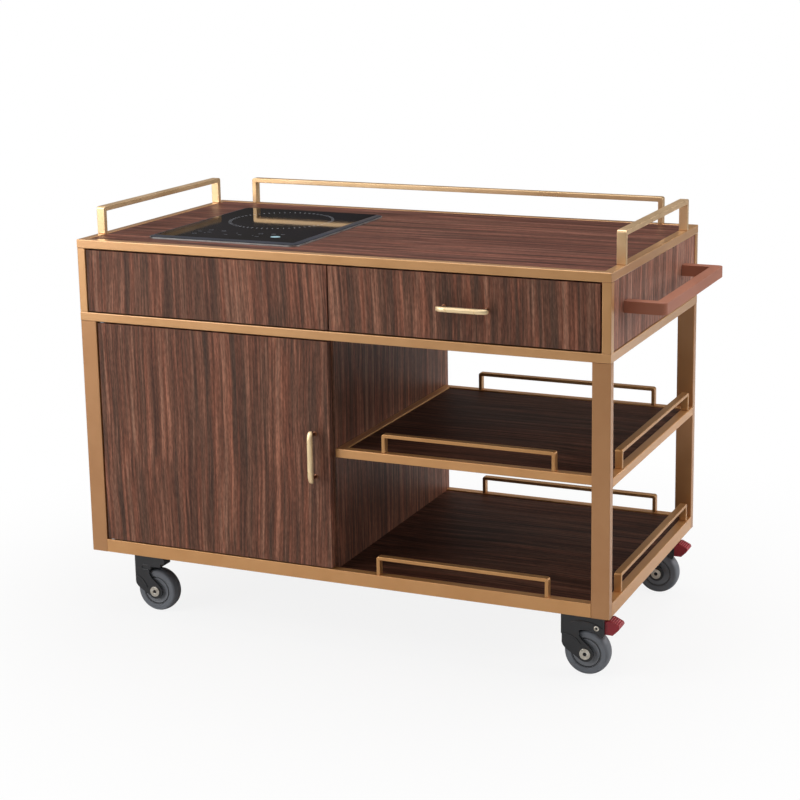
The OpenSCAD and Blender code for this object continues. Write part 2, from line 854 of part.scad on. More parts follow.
// Brake pedal: bored knuckle between the fork sides, and a ribbed tread that slopes outwards
module pedal(index) {
    half = fork_in - 0.5;
    color("#8e1f2c") place() translate([caster_at[index][0], caster_at[index][1], 0])
        rotate([90, 0, 0]) {
            difference() {
                translate([0, 0, -half]) linear_extrude(2 * half) {
                    translate([rivet_x, rivet_z]) circle(r = 8);
                    polygon([
                        [trail + 20, rivet_z - 6], [trail + 36, rivet_z - 13], [trail + 59, rivet_z - 13],
                        [trail + 71, rivet_z - 1], [trail + 74, rivet_z + 4], [trail + 72, rivet_z + 9],
                        [trail + 52, rivet_z + 18], [trail + 34, rivet_z + 13], [trail + 26, rivet_z + 8]
                    ]);
                }
                translate([rivet_x, rivet_z, 0]) cylinder(r = rivet_r + clear, h = 4 * half, center = true);
                for (i = [0:3]) translate([trail + 55.5 + i * 4.4, rivet_z + 16.8 - i * 1.98, 0])
                    rotate([0, 0, -24]) cube([1.6, 2.4, 2 * half - 6], center = true);
            }
        }
}

top_frame();
upper_posts();
mid_frame();
lower_posts();
base_frame();
shelf_frame();
worktop_board();
support_angles();
side_panels();
back_panels();
fixed_front_panel();
dividers();
deck_board();
base_board();
shelf_board();
top_guard_left();
top_guard_back();
top_guard_right();
mid_guards();
mid_guard_right();
low_guards();
low_guard_right();
push_handle();
hob_trim();
hob_glass();
hob_housing();
induction_coil();
hob_electronics();
fan_rotor();
cable_gland();
drawer_front();
drawer_box();
drawer_bottom();
drawer_pull();
slide_outer();
slide_middle();
slide_inner();
door_panel();
door_pull();
door_strike();
door_hardware();
caster_plates();
fork(0, false);  // fork_front_left
fork(1, true);  // fork_front_right
fork(2, false);  // fork_back_left
fork(3, true);  // fork_back_right
tyre(0);  // tyre_front_left
tyre(1);  // tyre_front_right
tyre(2);  // tyre_back_left
tyre(3);  // tyre_back_right
hub(0);  // hub_front_left
hub(1);  // hub_front_right
hub(2);  // hub_back_left
hub(3);  // hub_back_right
axle(0);  // axle_front_left
axle(1);  // axle_front_right
axle(2);  // axle_back_left
axle(3);  // axle_back_right
pedal(1);  // pedal_front_right
pedal(3);  // pedal_back_right
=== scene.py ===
"""Dressed model of a flambe trolley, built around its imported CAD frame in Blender 4.5.

The bronze tube frame, its veneered boards, the guards, the hob, the drawer, the cupboard and the
casters are each one class. Sizes are metres in the frame of the CAD model, apart from outlines and
names that end in _mm: +X runs to the push handle, +Y to the back and +Z up from the floor.
"""

from __future__ import annotations

import logging
import math
from dataclasses import dataclass
from enum import Enum
from typing import Callable, Sequence

import bmesh
import bpy
from bmesh.types import BMEdge, BMFace
from bpy.types import ID, Material, Node, NodeSocket, NodeTree, Object, World
from mathutils import Matrix, Vector

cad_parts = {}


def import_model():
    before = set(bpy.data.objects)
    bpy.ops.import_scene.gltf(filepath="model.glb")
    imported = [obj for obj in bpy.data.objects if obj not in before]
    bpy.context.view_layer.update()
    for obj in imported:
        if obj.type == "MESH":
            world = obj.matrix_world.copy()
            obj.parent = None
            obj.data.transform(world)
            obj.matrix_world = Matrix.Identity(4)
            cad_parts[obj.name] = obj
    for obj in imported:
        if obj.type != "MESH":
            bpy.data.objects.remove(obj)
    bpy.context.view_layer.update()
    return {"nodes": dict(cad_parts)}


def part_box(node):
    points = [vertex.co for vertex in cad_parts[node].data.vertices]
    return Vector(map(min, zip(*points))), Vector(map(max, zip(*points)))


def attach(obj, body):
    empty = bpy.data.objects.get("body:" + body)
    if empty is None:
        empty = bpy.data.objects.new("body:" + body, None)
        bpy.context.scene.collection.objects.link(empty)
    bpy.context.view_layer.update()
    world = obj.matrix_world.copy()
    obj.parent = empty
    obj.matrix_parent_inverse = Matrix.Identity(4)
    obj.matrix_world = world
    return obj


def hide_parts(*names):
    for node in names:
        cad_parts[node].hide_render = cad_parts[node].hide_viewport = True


LOG = logging.getLogger("trolley")
MM = 0.001
# A face looks in a direction if its normal has more than this share of it.
FACING = 0.9
# Points nearer to each other than this become one.
WELD = 0.001 * MM
# CAD triangles that meet at less than this many degrees become one flat face.
FLAT = 0.5
# Edges of pull bars and raised lines stay sharp above this many degrees.
CREASE = 50.0
# The inputs of a node that turns one range of numbers into another.
RANGE = ("Value", "From Min", "From Max", "To Min", "To Max")
Outline = tuple[tuple[float, float], ...]
Places = tuple[tuple[float, float], ...]
Point = tuple[float, float, float]
Tones = tuple[str, str, str, str, str]


class Axis(Enum):
    """A direction in the trolley's frame."""

    X = 0
    Y = 1
    Z = 2


def srgb(code: str) -> tuple[float, float, float, float]:
    """Turns an sRGB hex colour to the linear values that a shader takes.

    Args:
        code: six hex digits with a leading hash.

    Returns:
        Linear red, green and blue, and full opacity.
    """
    parts = [int(code[i : i + 2], 16) / 255 for i in (1, 3, 5)]
    red, green, blue = (p / 12.92 if p <= 0.04045 else ((p + 0.055) / 1.055) ** 2.4 for p in parts)
    return (red, green, blue, 1.0)


WHITE = srgb("#ffffff")


def emptied(owner: Material | World) -> NodeTree:
    """Turns on the nodes of a material or a world, and returns its tree without any node."""
    owner.use_nodes = True
    owner.node_tree.nodes.clear()
    return owner.node_tree


def fill(node: Node, inputs: dict) -> None:
    """Fills or links the inputs of a node.

    Args:
        node: the node.
        inputs: input name or index to a value, to the socket that feeds it, or to the node whose
            first output feeds it.
    """
    for key, source in inputs.items():
        if isinstance(source, Node):
            source = source.outputs[0]
        if isinstance(source, NodeSocket):
            node.id_data.links.new(source, node.inputs[key])
        else:
            node.inputs[key].default_value = source


def add_node(
    tree: NodeTree,
    kind: str,
    inputs: dict | None = None,
    stops: Sequence[tuple[float, str]] = (),
    **settings: object,
) -> Node:
    """Adds a node, sets its properties and fills or links its inputs.

    Args:
        tree: the node tree to add to.
        kind: the node's class name after "ShaderNode".
        inputs: what the inputs take, as for fill.
        stops: places and hex colours of a colour ramp.
        **settings: properties of the node.

    Returns:
        The new node.
    """
    node = tree.nodes.new(f"ShaderNode{kind}")
    for name, value in settings.items():
        setattr(node, name, value)
    fill(node, inputs or {})
    if stops:
        elements = node.color_ramp.elements
        while len(elements) < len(stops):
            elements.new(0.5)
        for element, (place, code) in zip(elements, stops):
            element.position = place
            element.color = srgb(code)
    return node


@dataclass(frozen=True)
class Finish:
    """A surface finish. Each kind of finish adds its own nodes."""

    name: str
    colour: str
    roughness: float = 0.4
    metallic: float = 0.0

    def material(self) -> Material:
        """Returns the finish as a material, made once."""
        made = bpy.data.materials.get(self.name)
        if not made:
            made = bpy.data.materials.new(self.name)
            tree = emptied(made)
            plain = {"Base Color": srgb(self.colour), "Roughness": self.roughness, "Metallic": self.metallic}
            shader = add_node(tree, "BsdfPrincipled", plain)
            add_node(tree, "OutputMaterial", {"Surface": shader})
            fill(shader, self.surface(tree, add_node(tree, "TexCoord").outputs["Object"]))
        return made

    def surface(self, tree: NodeTree, where: NodeSocket) -> dict:
        """Adds nodes that start at the object coordinates, and returns what they feed the shader."""
        raise NotImplementedError


@dataclass(frozen=True)
class PlatedSteel(Finish):
    """Steel with a satin coloured plating: soft reflections, slightly cloudy in tone."""

    deep: str = "#000000"
    lacquer: float = 0.0
    lacquer_roughness: float = 0.24
    lacquer_ior: float = 1.7
    cloud_mm: float = 90.0
    blast_mm: float = 1.6
    depth_mm: float = 0.015

    def surface(self, tree: NodeTree, where: NodeSocket) -> dict:
        """Adds the cloudy tone, the uneven satin and the fine blasted texture.

        Args:
            tree: the material's tree.
            where: the object coordinates.

        Returns:
            What the nodes feed into the shader.
        """
        cloud = add_node(tree, "TexNoise", {"Vector": where, "Scale": 1000 / self.cloud_mm, "Detail": 3.0})
        tone = add_node(tree, "ValToRGB", {"Fac": cloud}, ((0.36, self.deep), (0.6, self.colour)))
        satin = (cloud, 0.3, 0.7, self.roughness - 0.03, self.roughness + 0.04)
        blast = add_node(tree, "TexNoise", {"Vector": where, "Scale": 1000 / self.blast_mm})
        return {
            "Base Color": tone,
            "Roughness": add_node(tree, "MapRange", dict(zip(RANGE, satin))),
            "Normal": add_node(tree, "Bump", {"Height": blast, "Distance": self.depth_mm * MM}),
            "Coat Weight": self.lacquer,
            "Coat Roughness": self.lacquer_roughness,
            "Coat IOR": self.lacquer_ior,
        }


@dataclass(frozen=True)
class WoodLaminate(Finish):
    """Wood-look laminate: soft bands, narrow streaks, dark vessel lines and short pores.

    Each layer of the pattern has the width and length of its marks, in millimetres. Vessels of 0.3 mm
    and pores of 0.2 mm are too fine to show, so they are drawn over 2 mm wide.
    """

    grain: Axis = Axis.Z
    tones: Tones = ("#735443", "#86624f", "#91694f", "#9f7a60", "#b1917a")
    seed: float = 0.0
    sheen: float = 0.3
    band_mm: tuple[float, float] = (17, 1000)
    streak_mm: tuple[float, float] = (5.5, 300)
    vessel_mm: tuple[float, float] = (2.8, 80)
    pore_mm: tuple[float, float] = (2.5, 13)
    warmth_mm: tuple[float, float] = (11, 450)
    waves_per_metre: float = 1.9
    swing: float = 0.05
    depth_mm: float = 0.05

    def surface(self, tree: NodeTree, where: NodeSocket) -> dict:
        """Adds the bands, the streaks, the vessels, the pores and the satin lacquer over them.

        Args:
            tree: the material's tree.
            where: the object coordinates.

        Returns:
            What the nodes feed into the shader.
        """
        wave = add_node(tree, "TexNoise", {"Vector": where, "Scale": self.waves_per_metre, "Detail": 1.0})
        swing = {0: wave.outputs["Color"], 1: (self.swing,) * 3}
        bend = add_node(tree, "VectorMath", swing, operation="MULTIPLY")
        bent = add_node(tree, "VectorMath", {0: where, 1: bend}, operation="ADD")
        bands = self.along(tree, bent, self.band_mm, 0, 3.0)
        streaks = self.along(tree, bent, self.streak_mm, 5, 3.0)
        vessels = self.along(tree, bent, self.vessel_mm, 9, 1.0)
        pores = self.along(tree, bent, self.pore_mm, 13, 1.0)
        warmth = self.along(tree, bent, self.warmth_mm, 21, 2.0)
        mixed = add_node(tree, "Math", {0: bands, 1: streaks}, operation="ADD")
        place = add_node(tree, "MapRange", dict(zip(RANGE, (mixed, 0.72, 1.28, 0.0, 1.0))))
        stops = tuple(zip((0.0, 0.28, 0.5, 0.74, 1.0), self.tones))
        wood = add_node(tree, "ValToRGB", {"Fac": place}, stops)
        dark = add_node(tree, "MapRange", dict(zip(RANGE, (vessels, 0.34, 0.68, 1.30, 0.94))))
        speckle = add_node(tree, "MapRange", dict(zip(RANGE, (pores, 0.34, 0.68, 0.76, 1.24))))
        hue = add_node(tree, "ValToRGB", {"Fac": warmth}, ((0.38, "#e8f0ee"), (0.62, "#faebe2")))
        for factor in (dark, speckle, hue):
            wood = add_node(tree, "VectorMath", {0: wood, 1: factor}, operation="MULTIPLY")
        satin = (streaks, 0.3, 0.7, self.roughness + 0.06, self.roughness - 0.04)
        return {
            "Base Color": wood,
            "Roughness": add_node(tree, "MapRange", dict(zip(RANGE, satin))),
            "Normal": add_node(tree, "Bump", {"Height": pores, "Distance": self.depth_mm * MM}),
            "Specular IOR Level": self.sheen,
        }

    def along(
        self, tree: NodeTree, where: Node, size: tuple[float, float], shift: float, detail: float
    ) -> Node:
        """Draws noise out along the grain.

        Args:
            tree: the material's tree.
            where: the coordinates.
            size: width and length of a mark, in millimetres.
            shift: moves the pattern, so that no two layers match.
            detail: finer octaves of the noise.

        Returns:
            The noise.
        """
        scale = [1000 / size[0]] * 3
        scale[self.grain.value] = 1000 / size[1]
        start = self.seed + shift
        place = {"Vector": where, "Scale": scale, "Location": (start, 1.7 * start, 2.3 * start)}
        drawn = add_node(tree, "Mapping", place)
        noise = {"Vector": drawn, "Scale": 1.0, "Detail": detail, "Roughness": 0.55}
        return add_node(tree, "TexNoise", noise)


@dataclass(frozen=True)
class Moulded(Finish):
    """Moulded plastic, elastomer or print: two close tones with a fine grained skin."""

    fleck: str = ""
    grain_mm: float = 1.2
    depth_mm: float = 0.03
    patches_per_metre: float = 28.0

    def surface(self, tree: NodeTree, where: NodeSocket) -> dict:
        """Adds the grained skin and a faint change of tone.

        Args:
            tree: the material's tree.
            where: the object coordinates.

        Returns:
            What the nodes feed into the shader.
        """
        grain = add_node(tree, "TexNoise", {"Vector": where, "Scale": 1000 / self.grain_mm})
        patch = add_node(tree, "TexNoise", {"Vector": where, "Scale": self.patches_per_metre, "Detail": 3.0})
        tones = ((0.35, self.fleck), (0.65, self.colour))
        return {
            "Base Color": add_node(tree, "ValToRGB", {"Fac": patch}, tones),
            "Normal": add_node(tree, "Bump", {"Height": grain, "Distance": self.depth_mm * MM}),
        }


@dataclass(frozen=True)
class CeramicGlass(Finish):
    """Black ceramic glass: dark through its whole depth, with a weak clean mirror on top."""

    smoke: str = "#131118"
    ior: float = 1.11
    clouds_per_metre: float = 7.0
    waves_per_metre: float = 9.0
    depth_mm: float = 0.02

    def surface(self, tree: NodeTree, where: NodeSocket) -> dict:
        """Adds the weak mirror, the smoky depth and the rolled waviness.

        Args:
            tree: the material's tree.
            where: the object coordinates.

        Returns:
            What the nodes feed into the shader.
        """
        smoke = add_node(tree, "TexNoise", {"Vector": where, "Scale": self.clouds_per_metre, "Detail": 1.0})
        wave = add_node(tree, "TexNoise", {"Vector": where, "Scale": self.waves_per_metre, "Detail": 0.0})
        tones = ((0.4, self.colour), (0.65, self.smoke))
        return {
            "IOR": self.ior,
            "Base Color": add_node(tree, "ValToRGB", {"Fac": smoke}, tones),
            "Normal": add_node(tree, "Bump", {"Height": wave, "Distance": self.depth_mm * MM}),
        }


# Square steel tube, blasted and plated bronze-gold: a warm satin, brightest where it faces a lamp.
BRONZE = PlatedSteel("Bronze plated satin steel", "#cb965d", 0.34, 0.55, "#c69056", lacquer=0.7)
# The lower rails: the same plating with less lacquer, so the floor shows less in their ends.
BRONZE_LOW = PlatedSteel("Bronze plated lower steel", "#cf985f", 0.36, 0.5, "#ca9258", lacquer=0.3)
# The wider lower corner posts: the same plating, painted a step browner as painted shade for the weaker light
# low down.
BRONZE_SHADED_POST = PlatedSteel("Bronze plated post steel in painted shade", "#b58150", 0.36, 0.5, "#b07b4a", lacquer=0.4)
# Flat bar with a paler, smoother champagne plating, so its edges flash.
CHAMPAGNE = PlatedSteel("Champagne plated flat bar", "#ebc79b", 0.3, 0.7, "#e3bd8d", depth_mm=0.001)
# Flat bar of the shelf guards: the same plating, a little redder and duller.
SHELF_BAR = PlatedSteel("Bronze plated flat bar", "#c4935f", 0.32, 0.65, "#bd8a57", depth_mm=0.001)
# Powder coated tube in copper-rose: soft, with almost no mirror in it.
COPPER_COAT = PlatedSteel("Copper rose powder coat", "#a96b53", 0.46, 0.25, "#a4664e", blast_mm=2.5)
# Brass casting, polished and lacquered: pale, with a soft highlight along its crown.
BRASS = PlatedSteel("Polished pale brass", "#ffe4b6", 0.34, 0.5, "#f9dbab", cloud_mm=20.0, depth_mm=0.0)
# Turned posts behind the pulls: a redder tone, painted darker as painted shade behind the bar and as a
# painted reflection of the wood round them.
BRASS_POST_IN_SHADE = PlatedSteel("Turned copper post in painted shade", "#8d5f45", 0.34, 0.85, "#65402b", cloud_mm=12, depth_mm=0.003)
# Zinc-plated sheet steel: cool grey with faint spangle.
ZINC = PlatedSteel("Zinc plated sheet steel", "#c3c6c9", 0.34, 0.95, "#9da1a6", cloud_mm=14.0, depth_mm=0.004)
# Nickel-plated bolt and rivet: bright, with a soft edge to its reflections.
NICKEL = PlatedSteel("Nickel plated bolt steel", "#dcd8cf", 0.2, 1.0, "#bfb9ad", cloud_mm=8.0, depth_mm=0.002)
# Near-black steel-finished disc in the bottom of a bolt's socket, as painted shade in the recess.
SOCKET_SHADE = PlatedSteel("Bolt socket painted shade", "#26262a", 0.4, 0.6, "#1e1e21", depth_mm=0.002)
# Anodised aluminium rim round the hob.
RIM = PlatedSteel("Anodised aluminium rim", "#a09f9e", 0.36, 0.85, "#8f8e8d", cloud_mm=15.0, depth_mm=0.002)
# Enamelled copper wire of the coil.
COPPER = PlatedSteel("Enamelled copper wire", "#c07a48", 0.30, 0.9, "#8e5026", cloud_mm=6.0)
# Black ceramic glass of the hob: nearly black, and mirror-smooth.
GLASS = CeramicGlass("Black ceramic glass", "#0c0b0f", 0.05)
# The ground and polished bevel round the glass: the same glass, a step lighter and more open.
GROUND_EDGE = CeramicGlass("Ground ceramic glass edge", "#33353d", 0.34, smoke="#3a3c45", ior=1.12)
# Screen print fired on the glass: matt and light grey.
PRINT = Moulded("Fired grey screen print", "#b4b7bf", 0.55, fleck="#a3a6ae")
# Dimmer print of the touch keys.
PRINT_DIM = Moulded("Fired slate screen print", "#5d616b", 0.55, fleck="#50535c")
# Pale blue print of the touch field.
PRINT_BLUE = Moulded("Fired pale blue print", "#a9cbd6", 0.5, fleck="#94bac6")
# Soft grey elastomer tread, matt.
TYRE = Moulded("Grey elastomer tyre", "#73777e", 0.5, fleck="#6b6f76", grain_mm=1.6)
# Glass-filled nylon of the wheel core: a shade lighter and smoother than the tyre.
NYLON = Moulded("Grey moulded nylon", "#7e8187", 0.42, fleck="#75787e")
# Black nylon of the fan, the gland and the joint ring of the wheel.
BLACK_NYLON = Moulded("Black moulded nylon", "#1d1e20", 0.45, fleck="#17181a")
# Moulded black nylon fork: soft-edged and satin.
FORK_NYLON = Moulded("Black satin nylon fork", "#2b2c30", 0.40, fleck="#26272a", grain_mm=0.9, depth_mm=0.02)
# Red ABS of the brake pedals.
PEDAL_ABS = Moulded("Red moulded pedal", "#a11d2c", 0.36, fleck="#941928")
# The ribs on the pedals' treads, painted a lighter red as a painted highlight on their rounded crowns.
RIB_HIGHLIGHT_ABS = Moulded("Red pedal rib painted highlight", "#d06a72", 0.3, fleck="#c65f68")
# Green circuit board with its parts.
BOARD_GREEN = Moulded("Green circuit board", "#2f6b3c", 0.5, fleck="#245430")
# Plain lacquered board of the drawer box, and its bottom with the grain front to back.
BOX_WOOD = WoodLaminate("Lacquered drawer side", "#8d6a55", 0.5)
BOTTOM_WOOD = WoodLaminate("Lacquered drawer bottom", "#8d6a55", 0.5, grain=Axis.Y)


def mirrored(half: Outline) -> Outline:
    """Adds the mirror image of an outline whose last corner lies on its axis, at 0."""
    return (*half, *((first, -second) for first, second in half[-2::-1]))


def clear_selection() -> None:
    """Leaves object mode with nothing selected and nothing active."""
    if bpy.context.object and bpy.context.object.mode != "OBJECT":
        end_edit()
    for obj in list(bpy.context.selected_objects):
        obj.select_set(False)
    bpy.context.view_layer.objects.active = None


def activate(obj: Object) -> None:
    """Makes an object the only one selected, and the active one."""
    clear_selection()
    obj.select_set(True)
    bpy.context.view_layer.objects.active = obj


def begin_edit(obj: Object) -> None:
    """Opens an object's mesh for editing with nothing selected."""
    activate(obj)
    bpy.ops.object.mode_set(mode="EDIT")
    bpy.ops.mesh.select_all(action="DESELECT")


def end_edit() -> None:
    """Goes back to object mode."""
    bpy.ops.object.mode_set(mode="OBJECT")


def select(wanted: Callable[..., bool], edges: bool = False) -> bool:
    """Selects faces or edges of the mesh in edit mode by a test.

    Args:
        wanted: the test on one face or edge.
        edges: whether edges are meant.

    Returns:
        Whether anything is selected.
    """
    bpy.context.tool_settings.mesh_select_mode = (False, edges, not edges)
    bpy.ops.mesh.select_all(action="DESELECT")
    mesh = bmesh.from_edit_mesh(bpy.context.object.data)
    found = [item for item in (mesh.edges if edges else mesh.faces) if wanted(item)]
    for item in found:
        item.select_set(True)
    bmesh.update_edit_mesh(bpy.context.object.data)
    return bool(found)


def is_sharp(edge: BMEdge, degrees: float = 35.0) -> bool:
    """Says whether two faces meet at this edge at more than the given angle."""
    return len(edge.link_faces) == 2 and edge.calc_face_angle(0.0) > math.radians(degrees)


def bevel(size: float, segments: int) -> None:
    """Rounds the selected edges."""
    bpy.ops.mesh.bevel(offset=size, segments=segments, affect="EDGES", clamp_overlap=True)


def smooth(obj: Object, degrees: float = 38.0) -> None:
    """Shades an object smooth, apart from edges sharper than the given angle."""
    activate(obj)
    bpy.ops.object.shade_smooth_by_angle(angle=math.radians(degrees))


def shown(name: str, data: ID) -> Object:
    """Puts a mesh, a lamp or a camera in the scene, and returns its object."""
    obj = bpy.data.objects.new(name, data)
    bpy.context.scene.collection.objects.link(obj)
    return obj


def settle(obj: Object) -> None:
    """Puts an object's place, turn and size into its mesh."""
    activate(obj)
    bpy.ops.object.transform_apply(location=True, rotation=True, scale=True)


def started(primitive: Callable[..., set], name: str, **sizes: object) -> Object:
    """Starts a piece from a primitive.

    Args:
        primitive: the operator that adds it.
        name: name of the piece.
        **sizes: the primitive's size, place and turn.

    Returns:
        The piece, at the origin, with its place in its mesh.
    """
    clear_selection()
    primitive(**sizes)
    piece = bpy.context.object
    piece.name = name
    settle(piece)
    return piece


def dress(
    obj: Object, finish: Finish, body: str = "trolley", nodes: Sequence[str] = ()
) -> None:
    """Gives a finished piece its shading, its material and its body.

    Args:
        obj: the piece.
        finish: its finish.
        body: the CAD body that it rides on.
        nodes: the CAD nodes that it stands for.
    """
    activate(obj)
    # Wide flat faces stay flat in the shading, so that only rounded edges carry a gradient.
    weighted = obj.modifiers.new("flat faces", "WEIGHTED_NORMAL")
    weighted.weight = 100
    weighted.keep_sharp = True
    bpy.ops.object.modifier_apply(modifier=weighted.name)
    obj.data.materials.clear()
    obj.data.materials.append(finish.material())
    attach(obj, body)
    if nodes:
        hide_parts(*nodes)
    LOG.info("%s: %d faces, on %s", obj.name, len(obj.data.polygons), body)


def softened(
    node: Object, name: str, radius: float, segments: int, wanted: Callable[[BMEdge], bool] | None = None
) -> Object:
    """Copies a CAD node, merges its triangles to flat faces and rounds its sharp edges.

    Args:
        node: the CAD node.
        name: name of the new piece.
        radius: radius of the rounded edges; with 0 they stay sharp.
        segments: steps of the rounding.
        wanted: a further test on each sharp edge.

    Returns:
        The new piece, at the origin.
    """
    piece = shown(name, node.data.copy())
    begin_edit(piece)
    bpy.ops.mesh.select_all(action="SELECT")
    bpy.ops.mesh.remove_doubles(threshold=2 * WELD)
    bpy.ops.mesh.dissolve_limited(angle_limit=math.radians(FLAT))
    end_edit()
    if radius:
        begin_edit(piece)
        select(lambda e: is_sharp(e) and (wanted is None or wanted(e)), edges=True)
        bevel(radius, segments)
        end_edit()
    smooth(piece)
    return piece


def wire(name: str, points: Sequence[Sequence[float]]) -> Object:
    """Draws a line of edges through points, and stays in edit mode.

    Args:
        name: name of the line.
        points: its points.

    Returns:
        The line.
    """
    line = started(bpy.ops.mesh.primitive_plane_add, name, size=MM)
    bpy.ops.object.mode_set(mode="EDIT")
    bpy.context.tool_settings.mesh_select_mode = (True, False, False)
    bpy.ops.mesh.select_all(action="SELECT")
    bpy.ops.mesh.merge(type="CENTER")
    bpy.ops.transform.translate(value=points[0])
    for here, there in zip(points, points[1:]):
        step = Vector(there) - Vector(here)
        bpy.ops.mesh.extrude_vertices_move(TRANSFORM_OT_translate={"value": step})
    return line


def turned(name: str, outline: Outline, steps: int) -> Object:
    """Turns a closed outline about the Y axis, as on a lathe.

    Args:
        name: name of the piece.
        outline: radius and place along Y of each corner.
        steps: steps of the turn.

    Returns:
        The piece, about the origin.
    """
    piece = wire(name, [(radius * MM, along * MM, 0.0) for radius, along in (*outline, outline[0])])
    bpy.ops.mesh.select_all(action="SELECT")
    bpy.ops.mesh.spin(steps=steps, angle=math.tau, center=(0, 0, 0), axis=(0, 1, 0))
    bpy.ops.mesh.select_all(action="SELECT")
    bpy.ops.mesh.remove_doubles(threshold=WELD)
    bpy.ops.mesh.normals_make_consistent(inside=False)
    end_edit()
    smooth(piece)
    return piece


def copied(piece: Object, name: str, place: Matrix) -> Object:
    """Copies a piece with its own mesh and puts the copy's place in that mesh.

    Args:
        piece: the piece to copy.
        name: name of the copy.
        place: where the copy goes.

    Returns:
        The copy.
    """
    activate(piece)
    bpy.ops.object.duplicate(linked=False)
    twin = bpy.context.object
    twin.name = name
    twin.matrix_world = place
    settle(twin)
    return twin


def joined(pieces: Sequence[Object], name: str) -> Object:
    """Joins pieces to one.

    Args:
        pieces: the pieces.
        name: name of the whole.

    Returns:
        The whole.
    """
    activate(pieces[0])
    for piece in pieces:
        piece.select_set(True)
    bpy.ops.object.join()
    whole = bpy.context.object
    whole.name = name
    return whole


def beads(name: str, lines: Sequence[Sequence[Point]], radius: float, origin: Vector) -> Object:
    """Lays round raised lines, as one piece.

    Args:
        name: name of the piece.
        lines: the points of each line, from the origin.
        radius: radius of the lines.
        origin: where the lines are measured from.

    Returns:
        The piece.
    """
    made = []
    for i, points in enumerate(lines):
        wire(f"{name}_{i}", [origin + Vector(point) for point in points])
        end_edit()
        bpy.ops.object.convert(target="CURVE")
        curve = bpy.context.object
        curve.data.bevel_depth = radius
        curve.data.bevel_resolution = 1
        curve.data.use_fill_caps = True
        bpy.ops.object.convert(target="MESH")
        smooth(bpy.context.object, CREASE)
        made.append(bpy.context.object)
    return joined(made, name)


def discard(*patterns: Object) -> None:
    """Deletes pattern pieces once their copies are made."""
    for pattern in patterns:
        activate(pattern)
        bpy.ops.object.delete()


@dataclass
class Assembly:
    """A sub-assembly and the CAD nodes of the trolley."""

    nodes: dict

    def part(
        self,
        name: str,
        finish: Finish,
        slot: str,
        body: str = "trolley",
        edge: float = 0.5 * MM,
        segments: int = 2,
        ending: str = "part",
    ) -> None:
        """Rounds the edges of one CAD node and dresses it.

        Args:
            name: the CAD node.
            finish: its finish.
            slot: name of a material slot; not used.
            body: the CAD body that it rides on.
            edge: radius of its rounded edges; with 0 they stay sharp, as on folded sheet steel.
            segments: steps of the rounding.
            ending: what the piece's name adds to the node's.
        """
        dress(softened(self.nodes[name], f"{name}_{ending}", edge, segments), finish, body, [name])


@dataclass
class TubeFrame(Assembly):
    """Welded frame of square and rectangular tube."""

    edge: float = 1.8 * MM
    long_edge: float = 100 * MM
    tube: float = 20 * MM
    seam: float = 0.9 * MM
    seam_depth: float = 0.72 * MM
    seam_reach: float = 60 * MM
    seam_floor: float = 0.27 * MM
    cut_reach: float = 12 * MM
    tilt: float = 0.2

    def build(self) -> None:
        """Rounds the long edges of every tube and cuts the seams between them."""
        for name, finish in (
            ("top_frame", BRONZE),
            ("mid_frame", BRONZE),
            ("shelf_frame", BRONZE_LOW),
            ("base_frame", BRONZE_LOW),
            ("upper_posts", BRONZE),
            # The lower posts take the plating painted browner, as painted shade.
            ("lower_posts", BRONZE_SHADED_POST),
        ):
            piece = softened(self.nodes[name], f"{name}_tubes", self.edge, 3, self.is_long)
            if name.endswith("posts"):
                self.ends(piece)
            elif name != "base_frame":
                self.mitres(piece, name)
            dress(piece, finish, "trolley", [name])

    def is_long(self, edge: BMEdge) -> bool:
        """Says whether an edge runs along a tube."""
        return edge.calc_length() > self.long_edge

    def ends(self, piece: Object) -> None:
        """Bevels the ends of posts, so that a seam shows where they meet a rail."""
        begin_edit(piece)
        select(lambda e: is_sharp(e, 60) and not self.is_long(e), edges=True)
        bevel(self.seam / 2, 1)
        end_edit()
        smooth(piece)

    def mitres(self, piece: Object, name: str) -> None:
        """Cuts the mitre seam at each corner of a frame.

        Args:
            piece: the frame's tubes.
            name: the CAD node.
        """
        low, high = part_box(name)
        for x, sx in ((low.x, 1), (high.x, -1)):
            for y, sy in ((low.y, 1), (high.y, -1)):
                corner = Vector((x + sx * self.tube / 2, y + sy * self.tube / 2, (low.z + high.z) / 2))
                self.groove(piece, corner, Vector((sx, -sy, 0)).normalized())

    def groove(self, piece: Object, corner: Vector, across: Vector) -> None:
        """Cuts a fine groove round two tubes where they meet.

        Args:
            piece: the frame's tubes.
            corner: the middle of the mitre.
            across: the normal of its plane.
        """
        def in_seam(face: BMFace) -> bool:
            """Says whether a face lies along the bottom of the seam."""
            away = face.calc_center_median() - corner
            level = abs(face.normal.dot(across)) < self.tilt
            return level and abs(away.dot(across)) < self.seam_floor and away.length < self.seam_reach

        begin_edit(piece)
        select(lambda f: min(abs(v) for v in (f.calc_center_median() - corner).xy) < self.cut_reach)
        bpy.ops.mesh.bisect(plane_co=corner, plane_no=across)
        bevel(self.seam / 2, 1)
        if select(in_seam):
            bpy.ops.mesh.extrude_region_shrink_fatten(TRANSFORM_OT_shrink_fatten={"value": -self.seam_depth})
        end_edit()


